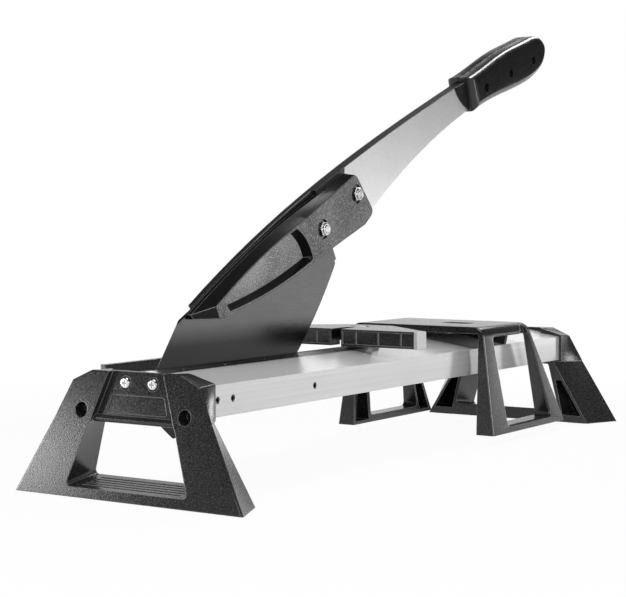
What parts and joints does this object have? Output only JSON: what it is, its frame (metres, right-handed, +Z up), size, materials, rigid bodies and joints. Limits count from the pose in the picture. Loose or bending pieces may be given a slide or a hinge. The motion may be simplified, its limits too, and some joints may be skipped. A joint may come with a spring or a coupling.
{
  "type": "laminate flooring cutter",
  "caption": "Bench cutter for laminate planks: a long lever swings a plate blade down into a slotted beam on splayed end feet, with a swivelling fence and a loose plank support.",
  "frame": {"origin": "on the floor, under the middle of the overall length and of the feet's width", "axes": "+X from the blade's pivot towards the handle's end, +Y to the lever bar's side of the blade, +Z up"},
  "size_m": [0.7907, 0.2486, 0.4617],
  "materials": {
    "black_plastic": "fine-textured moulding",
    "handle_plastic": "smooth and glossy",
    "grey_plastic": "satin",
    "rubber": "matt",
    "aluminium": "bright, brushed along the beam",
    "strip_steel": "dark satin",
    "blade_steel": "dark satin",
    "lever_alloy": "light satin",
    "zinc": "bright zinc plating",
    "dark_screw": "black oxide",
    "bronze": "turned"
  },
  "bodies": {
    "frame": {"back_guide_block": "aluminium", "back_pivot_block": "aluminium", "back_side_screws": "dark_screw", "back_slot_strip": "strip_steel", "back_strip_screws": "zinc", "beam_back_half": "aluminium", "beam_front_half": "aluminium", "far_foot": "black_plastic", "far_foot_pads": "rubber", "far_foot_screws": "zinc", "fence_bolt": "zinc", "fence_clamp_plate": "strip_steel", "fence_nut": "zinc", "fence_seat": "black_plastic", "fence_washer": "zinc", "front_guide_block": "aluminium", "front_pivot_block": "aluminium", "front_side_screws": "dark_screw", "front_slot_strip": "strip_steel", "front_strip_screws": "zinc", "near_foot": "black_plastic", "near_foot_pads": "rubber", "near_foot_screws": "zinc", "pivot_pin": "zinc", "plank_rail": "black_plastic", "rail_screws": "zinc"},
    "lever": {"blade": "blade_steel", "pivot_bush": "bronze", "blade_washers": "zinc", "lever_bar": "lever_alloy", "blade_cover": "black_plastic", "lever_bolts": "zinc", "lever_nuts": "zinc", "handle_front_shell": "handle_plastic", "handle_back_shell": "handle_plastic", "handle_screws": "zinc", "handle_nuts": "zinc"},
    "fence": {"fence": "black_plastic", "front_fence_cap": "grey_plastic", "back_fence_cap": "grey_plastic"},
    "support": {"plank_support": "black_plastic"}
  },
  "joints": [
    {"name": "lever_swing", "type": "hinge", "parent": "frame", "child": "lever", "pos_m": [-0.33835, 0, 0.088], "axis": [0, -1, 0], "range_deg": [-16, 40]},
    {"name": "fence_swivel", "type": "hinge", "parent": "frame", "child": "fence", "pos_m": [-0.01335, 0, 0.1129], "axis": [0, 0, 1], "range_deg": [-4, 4]},
    {"name": "support_lift", "type": "slide", "parent": "frame", "child": "support", "axis": [0, 0, 1], "range_m": [0, 0.025]}
  ]
}
